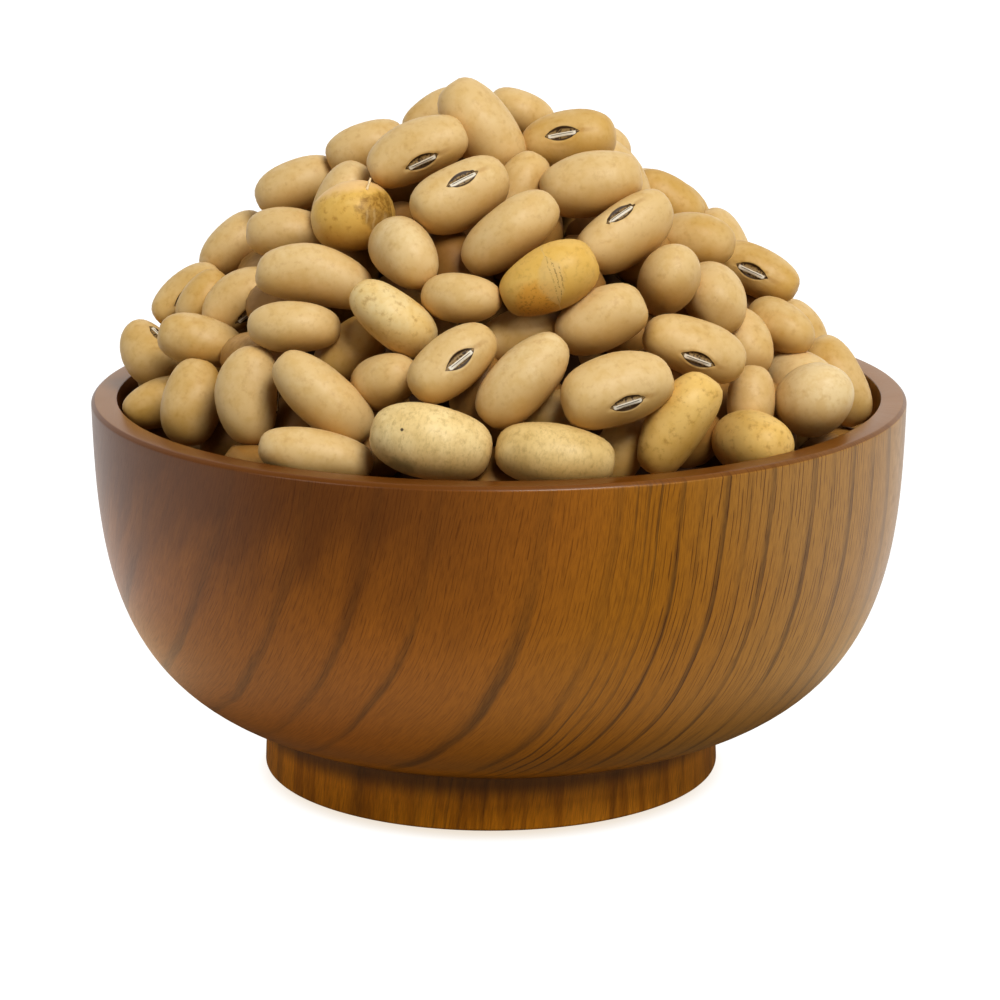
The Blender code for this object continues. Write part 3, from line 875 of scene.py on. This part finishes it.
def eye_relief(x, z):
    """How far the surface stands out at the eye, in mm: a lip, a hollow inside it and a bar in that."""
    share = 1 - (x / EYE_LENGTH) ** 2
    inside = np.abs(z) / (EYE_WIDTH * np.maximum(share, 0.02))
    lip = LIP_RISE * np.exp(-(((inside - 1.2) / 0.25) ** 2))
    hollow = -HOLLOW_DEPTH / (1 + np.exp((inside - 0.9) * 14))
    bar = BAR_RISE * np.exp(-(((z - BAR_SHIFT) / 0.40) ** 4)) * (np.abs(x) < BAR_LENGTH)
    return np.where(share > 0.02, lip + hollow + bar * (inside < 0.9), 0.0)


def bean_form(bean, fine):
    """The vertices of a bean in mm, lying along X with its eye towards -Y, and their coat places."""
    rings, spokes = BEAN_RINGS[fine], BEAN_SPOKES[fine]
    polar = math.pi * (np.arange(1, rings) / rings) ** RING_CROWDING[fine]
    round_eye = math.tau * np.arange(spokes) / spokes
    along = np.outer(np.sin(polar), np.cos(round_eye)).ravel()
    through = np.outer(np.sin(polar), np.sin(round_eye)).ravel()
    across = np.repeat(-np.cos(polar), spokes)
    along = np.append(along, (0.0, 0.0))
    through = np.append(through, (0.0, 0.0))
    across = np.append(across, (-1.0, 1.0))
    length, width, thick = bean.size
    fullness = draw.uniform(*FULLNESS)
    bend = draw.uniform(*BEND)
    taper = draw.uniform(*TAPER)
    girth = np.maximum(1e-6, np.hypot(across, through))
    fuller = girth ** (fullness - 1) * (1 + taper * along)
    x = along * length / 2
    y = across * fuller * width / 2
    z = through * fuller * thick / 2
    # The coat's third axis is turned to point up, so that the eye's bar lies towards the side that faces
    # down and the hollow above it shows dark: painted shade.
    up_side = 1.0 if bean.axes[2][2] > 0 else -1.0
    coat = np.stack([x, y, z * up_side], axis=1)
    if fine:
        lumps = [draw.uniform(0, math.tau) for _ in range(4)]
        swell = np.sin(x * 0.55 + lumps[0]) * np.sin(z * 0.7 + lumps[1])
        swell += np.sin(x * 0.3 + y * 0.5 + lumps[2]) * 0.7
        y += swell * across * LUMP_RISE
        z += swell * through * LUMP_RISE
        y -= np.where(across < -0.6, eye_relief(x, z * up_side), 0.0)
    y += bend * (0.4 - along**2)
    return np.stack([x, y, z], axis=1), coat


def bean_faces(fine):
    """The faces of a bean's grid, as quads and triangles."""
    rings, spokes = BEAN_RINGS[fine], BEAN_SPOKES[fine]
    near_pole, far_pole = (rings - 1) * spokes, (rings - 1) * spokes + 1
    faces = []
    for k in range(spokes):
        after = (k + 1) % spokes
        faces.append((near_pole, k, after))
        for row in range(rings - 2):
            low = row * spokes
            faces.append((low + k, low + spokes + k, low + spokes + after, low + after))
        low = (rings - 2) * spokes
        faces.append((low + k, far_pole, low + after))
    return faces


def bean_piece(name, members, finish, fine=True):
    """One piece of many beans. A vertex keeps its place on its bean, and the bean's tone with its painted
    shade and light, for the coat.
    """
    grid = bean_faces(fine)
    vertices, faces, coats, tones, lots = [], [], [], [], []
    for bean in members:
        form, coat = bean_form(bean, fine)
        start = sum(len(block) for block in vertices)
        vertices.append(form * MM @ bean.axes + bean.centre)
        faces += [tuple(start + corner for corner in face) for face in grid]
        coats.append(coat)
        tones.append(np.full(len(form), bean.tone))
        lots.append(np.full(len(form), draw.uniform(0, 1)))
    mesh = bpy.data.meshes.new(name)
    mesh.from_pydata(np.vstack(vertices).tolist(), [], faces)
    coat_place = mesh.attributes.new("coat_place", "FLOAT_VECTOR", "POINT")
    coat_place.data.foreach_set("vector", np.vstack(coats).astype(np.float32).ravel())
    for label, values in (("tone", tones), ("lot", lots)):
        layer = mesh.attributes.new(label, "FLOAT", "POINT")
        layer.data.foreach_set("value", np.concatenate(values).astype(np.float32))
    mesh.shade_smooth()
    mesh.materials.append(finish.material)
    piece = add_object(name, mesh)
    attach(piece, "root")
    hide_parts("beans")
    return piece


# Seed coat. Tan, paler and pinker on some beans and more olive on others, by each bean's tone, which
# also holds painted shade and light. Faint clouds and freckles. Sides that face down are darker and
# warmer: painted shade. The eye is a dark lens with a silvery bar in it, split by a slit; the bar lies
# towards the side that faces down, and the hollow above it is dark with painted shade.
PALE_COAT = paint(228, 203, 154)
TAN_COAT = paint(219, 188, 132)
OLIVE_COAT = paint(203, 163, 86)
FRECKLE = paint(168, 118, 52)
UNDERSIDE_SHADE_COLOUR = paint(190, 144, 64)
FRECKLES = 0.22
CLOUD_SHARE = 0.28
UNDERSIDE_SHADE_SHARE = 0.60
EYE_EDGE = paint(62, 40, 14)
EYE_HOLLOW = paint(150, 122, 76)
EYE_SILVER = paint(224, 214, 194)


def seed_coat(name, pale, mid, deep, freckle, freckle_share, marks=None, eye_shows=1.0):
    """The coat of one kind of bean, with its eye and, on some, marks of its own."""
    coat = Finish(bpy.data.materials.new(name))
    at = coat.node("Attribute", {"attribute_name": "coat_place"}, {}, output="Vector")
    tone = coat.node("Attribute", {"attribute_name": "tone"}, {}, output="Fac")
    lot = coat.node("Attribute", {"attribute_name": "lot"}, {}, output="Fac")
    offset = coat.node("CombineXYZ", {}, {0: lot * 90, 1: lot * 37, 2: lot * 61})
    spot = coat.node("VectorMath", {"operation": "ADD"}, {0: at, 1: offset})
    parts = coat.node("SeparateXYZ", {}, {0: at})
    x, y, z = (Socket(coat, parts.output.node.outputs[axis]) for axis in range(3))
    cloud = coat.noise(spot, 0.25, 3.0, 0.55)
    depth = tone * 0.5 + (cloud - 0.5) * 1.1
    colour = coat.blend(coat.ramp(depth, -0.6, 0.0), pale, mid)
    colour = coat.blend(coat.ramp(depth, 0.0, 0.7), colour, deep)
    mottle = coat.noise(spot, 1.0, 4.0, 0.65)
    patches = coat.ramp(coat.noise(spot, 0.55, 3.0, 0.6), 0.44, 0.66)
    colour = coat.blend(patches * CLOUD_SHARE, colour, deep)
    specks = coat.ramp(mottle, 0.50, 0.74)
    colour = coat.blend(specks * freckle_share, colour, freckle)
    facing = coat.node("SeparateXYZ", {}, {0: coat.node("TexCoord", {}, {}, output="Normal")})
    # Painted shade: sides that face down are darker and warmer.
    under = 1 - coat.ramp(Socket(coat, facing.output.node.outputs[2]) + (mottle - 0.5) * 0.4, -0.65, 0.25)
    colour = coat.blend(under * UNDERSIDE_SHADE_SHARE, colour, UNDERSIDE_SHADE_COLOUR)
    if marks:
        colour = marks(coat, colour, spot, x, y, z)
    share = 1 - (x / EYE_LENGTH) ** 2
    half_width = coat.node("Math", {"operation": "MAXIMUM"}, {0: share, 1: 0.01}) * EYE_WIDTH
    inside = abs(z) / half_width
    eye_side = (y < 0) * (share > 0.01) * eye_shows
    streak = (1 - coat.ramp(abs(z), 0.1, 0.5)) * coat.ramp(x, 2.0, 2.8) * (1 - coat.ramp(x, 3.4, 5.0))
    colour = coat.blend(streak * (y < 0) * 0.35, colour, freckle)
    colour = coat.blend(eye_side * (1 - coat.ramp(inside, 1.0, 1.2)), colour, EYE_EDGE)
    # The hollow is mottled dark: partly the scar's own colour and partly painted shade above the bar.
    hollow = coat.blend(coat.ramp(coat.noise(spot, 3.0), 0.34, 0.56), EYE_EDGE, EYE_HOLLOW)
    colour = coat.blend(eye_side * (1 - coat.ramp(inside, 0.62, 0.86)), colour, hollow)
    from_bar = abs(z - BAR_SHIFT)
    bar = eye_side * (1 - coat.ramp(from_bar, BAR_WIDTH - 0.06, BAR_WIDTH + 0.04))
    bar = bar * (1 - coat.ramp(abs(x), BAR_LENGTH - 0.15, BAR_LENGTH)) * (1 - coat.ramp(inside, 0.80, 0.95))
    colour = coat.blend(bar, colour, EYE_SILVER)
    slit = bar * (1 - coat.ramp(abs(z - BAR_SHIFT - 0.06), 0.02, 0.08))
    slit = slit * (1 - coat.ramp(abs(x), BAR_LENGTH - 0.6, BAR_LENGTH - 0.3))
    colour = coat.blend(slit * 0.85, colour, EYE_EDGE)
    height = mottle * 0.6 + cloud * 0.6 - slit * 0.5
    bump = coat.node("Bump", {}, {"Strength": 0.30, "Distance": 0.12 * MM, "Height": height})
    coat.set(Base_Color=colour, Roughness=0.42 + mottle * 0.12, Normal=bump, Specular_IOR_Level=0.34)
    return coat


SCAR_ORANGE = paint(214, 148, 42)
SCAR_FLECKS = paint(140, 98, 34)
SCAR_PALE = paint(212, 180, 118)
SCAR_STITCH = paint(112, 78, 20)


def scar(coat, colour, spot, x, y, z):
    """A healed scratch across the bean: a pale lens, dark stitches at its right and orange at its left."""
    fray = coat.noise(spot, 0.8, 3.0) - 0.5
    across = x - z * 0.16 - 0.3 + fray * 0.7
    lens = 1 - ((z + 0.3) / 3.4) ** 2
    lens = coat.node("Math", {"operation": "MAXIMUM"}, {0: lens, 1: 0.05})
    field = (1 - coat.ramp(abs(across) / lens, 1.2, 2.4)) * (y > 0)
    orange = 1 - coat.ramp(((x + 3.0) ** 2 + (z + 2.2) ** 2) ** 0.5 + fray * 2, 1.8, 3.8)
    colour = coat.blend(orange * (y > 0) * 0.6, colour, SCAR_ORANGE)
    flecks = coat.ramp(coat.noise(spot, 2.6, 2.0), 0.52, 0.64)
    colour = coat.blend(orange * flecks * 0.4, colour, SCAR_FLECKS)
    colour = coat.blend(field * 0.55, colour, SCAR_PALE)
    rows = coat.ramp((across * 10.0).math("SINE", across * 10.0), 0.20, 0.90) * coat.ramp(across, -0.3, 0.5)
    stitches = rows * field * coat.ramp(coat.noise(spot, 5.0, 1.0), 0.40, 0.56)
    return coat.blend(stitches * 0.60, colour, SCAR_STITCH)


SKIN_ABOVE = paint(232, 194, 136)
PUCKERED_OLIVE = paint(146, 104, 26)
PUCKERED_GREY = paint(152, 120, 66)
PUCKERED_RIBS = paint(214, 190, 140)


def wrinkles(coat, colour, spot, x, y, z):
    """A yellowed skin that is paler above, with a grey puckered patch at the right end."""
    fray = coat.noise(spot, 0.7, 3.0) - 0.5
    colour = coat.blend(coat.ramp(z + fray * 2, 2.2, 3.6) * 0.8, colour, SKIN_ABOVE)
    from_patch = ((x - 5.0) ** 2 * 1.2 + (z + 0.4) ** 2) ** 0.5 + fray * 2.0
    patch = (1 - coat.ramp(from_patch, 2.0, 3.0)) * (y > 0)
    olive = coat.ramp(coat.noise(spot, 1.8, 3.0), 0.40, 0.60)
    colour = coat.blend(patch * (0.45 + olive * 0.4), colour, PUCKERED_OLIVE)
    from_grey = ((x - 4.5) ** 2 * 2.0 + (z + 1.8) ** 2) ** 0.5 + fray
    grey = (1 - coat.ramp(from_grey, 1.2, 2.2)) * (y > 0)
    colour = coat.blend(grey * 0.5, colour, PUCKERED_GREY)
    bow = x + z * z * 0.12 + fray * 0.6
    ribs = coat.ramp((bow * 7.0).math("SINE", bow * 7.0), 0.4, 0.95) * grey
    return coat.blend(ribs * 0.32, colour, PUCKERED_RIBS)


STREAK_COLOUR = paint(156, 124, 62)
STAIN_COLOUR = paint(126, 112, 66)
HOLE_COLOUR = paint(44, 26, 8)


def streaks(coat, colour, spot, x, y, z):
    """Fine olive streaks that run round the bean."""
    streak = coat.noise(coat.stretch(spot, (1.6, 1.0, 0.7)), 1.5, 4.0, 0.7)
    return coat.blend(coat.ramp(streak, 0.48, 0.70) * 0.30, colour, STREAK_COLOUR)


def stains(coat, colour, spot, x, y, z):
    """The same streaks, with a dark pin-hole and a green-grey stain below."""
    colour = streaks(coat, colour, spot, x, y, z)
    fray = coat.noise(spot, 0.6, 3.0) - 0.5
    stain = 1 - coat.ramp(((x + 3.2) ** 2 * 0.5 + (z + 4.2) ** 2) ** 0.5 + fray * 1.6, 0.7, 1.8)
    colour = coat.blend(stain * (y > 0) * 0.5, colour, STAIN_COLOUR)
    hole = 1 - coat.ramp(((x + 4.1) ** 2 + (z - 0.8) ** 2) ** 0.5, 0.14, 0.28)
    return coat.blend(hole * (y > 0) * 0.9, colour, HOLE_COLOUR)


tan_coat = seed_coat("tan_coat", PALE_COAT, TAN_COAT, OLIVE_COAT, FRECKLE, FRECKLES)
SHADED = (paint(200, 160, 98), paint(168, 126, 66), paint(136, 96, 42), FRECKLE, 0.2)
shaded_coat = seed_coat("shaded_coat", *SHADED, eye_shows=0.0)
YELLOWED = (paint(232, 204, 134), paint(222, 182, 96), paint(206, 160, 62))
YELLOWISH = (paint(230, 206, 152), paint(228, 192, 116), paint(214, 172, 84), paint(156, 108, 38), 0.45)
yellow_coat = seed_coat("yellowed_coat", *YELLOWISH)
scarred_coat = seed_coat("scarred_coat", *YELLOWED, paint(140, 100, 40), 0.25, scar)
wrinkled_coat = seed_coat("wrinkled_coat", *YELLOWED, paint(168, 112, 36), 0.55, wrinkles)
MOTTLED = (paint(242, 220, 166), paint(230, 202, 142), paint(206, 174, 108), paint(150, 120, 62), 0.30)
mottled_coat = seed_coat("mottled_coat", *MOTTLED, streaks)
stained_coat = seed_coat("stained_coat", *MOTTLED, stains)


def of_kind(kind):
    return [bean for bean in beans if bean.kind == kind]


tan = of_kind("tan")
bean_piece("beans_shown", [bean for bean in tan if bean.line is not None], tan_coat)
bean_piece("beans_round_back", [bean for bean in tan if bean.line is None and bean.level == 0], tan_coat)
bean_piece("beans_beneath", [bean for bean in tan if bean.level > 0], shaded_coat, fine=False)
bean_piece("beans_yellowed", of_kind("yellow"), yellow_coat)
bean_piece("bean_scarred", of_kind("scarred"), scarred_coat)
wrinkled = bean_piece("bean_wrinkled", of_kind("wrinkled"), wrinkled_coat)
bean_piece("beans_mottled", of_kind("mottled"), mottled_coat)
bean_piece("bean_stained", of_kind("stained"), stained_coat)

# Stalk. A bit of the pod's dry, woody stalk that came along with the beans. It stands on the wrinkled
# bean and leans on the one behind it.
STALK_PIXEL = (367, 189)
STALK_LENGTH = 1.8 * MM
STALK_RADIUS = 0.20 * MM
STALK_TIP = 0.13 * MM
STALK_BOW = 0.22 * MM
STALK_RIPPLE = 0.03 * MM
STALK_PALE = paint(255, 236, 196)
STALK_BROWN = paint(232, 196, 140)
STALK_TOWARDS = Vector((0.38, 0.15, 1.0))

bpy.context.view_layer.update()
_, stalk_foot, *_ = wrinkled.ray_cast(CAMERA_AT, Vector(sight(*STALK_PIXEL)))
share = np.linspace(0, 1, 9)
girth = STALK_RADIUS + (STALK_TIP - STALK_RADIUS) * share + STALK_RIPPLE * np.cos(share * 9.0)
side = np.stack([girth, (share - 0.08) * STALK_LENGTH], axis=1)
stalk_mesh = lathe("stalk", np.vstack([(0.0, side[0, 1]), side, (0.0, side[-1, 1])]), 12)
for vertex in stalk_mesh.vertices:
    vertex.co.x += STALK_BOW * (vertex.co.z / STALK_LENGTH) ** 2
stalk_lean = STALK_TOWARDS.to_track_quat("Z", "Y").to_matrix().to_4x4()
stalk_mesh.transform(Matrix.Translation(stalk_foot) @ stalk_lean)
stalk_mesh.shade_smooth()
stalk = add_object("stalk", stalk_mesh)
straw = Finish(bpy.data.materials.new("dry_stalk"))
fibres = straw.noise(straw.node("TexCoord", {}, {}, output="Object"), 4 / MM, 2.0)
straw.set(Base_Color=straw.blend(fibres, STALK_PALE, STALK_BROWN), Roughness=0.6)
stalk_mesh.materials.append(straw.material)
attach(stalk, "root")
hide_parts("beans")


# Core. The beans that nothing shows, as one mass deep in the heap, dark brown as painted shade. It
# lies under the beans that show through the gaps, and reaches down to the bowl's wall and floor.
CORE_DEPTH = 24.0 * MM
CORE_GAP = 0.6 * MM
CORE_RADIUS = 44 * MM
CORE_SHADE_COLOUR = paint(86, 56, 28)

core_radii = np.linspace(0, CORE_RADIUS, 16)
core_top = np.stack([core_radii, heap_top(core_radii) - CORE_DEPTH], axis=1)
lining = inner_wall[::-1] + (-CORE_GAP, CORE_GAP)
lining = lining[lining[:, 1] < core_top[-1, 1] - 1 * MM]
core_profile = np.vstack([core_top, lining, [(0.0, FLOOR_END[1] + CORE_GAP)]])
core_mesh = lathe("bean_core", core_profile[::-1], 64)
core_mesh.shade_smooth()
core = add_object("bean_core", core_mesh)
shaded_mass = Finish(bpy.data.materials.new("shaded_mass"))
shaded_mass.set(Base_Color=CORE_SHADE_COLOUR, Roughness=0.8)
core_mesh.materials.append(shaded_mass.material)
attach(core, "root")
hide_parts("beans")
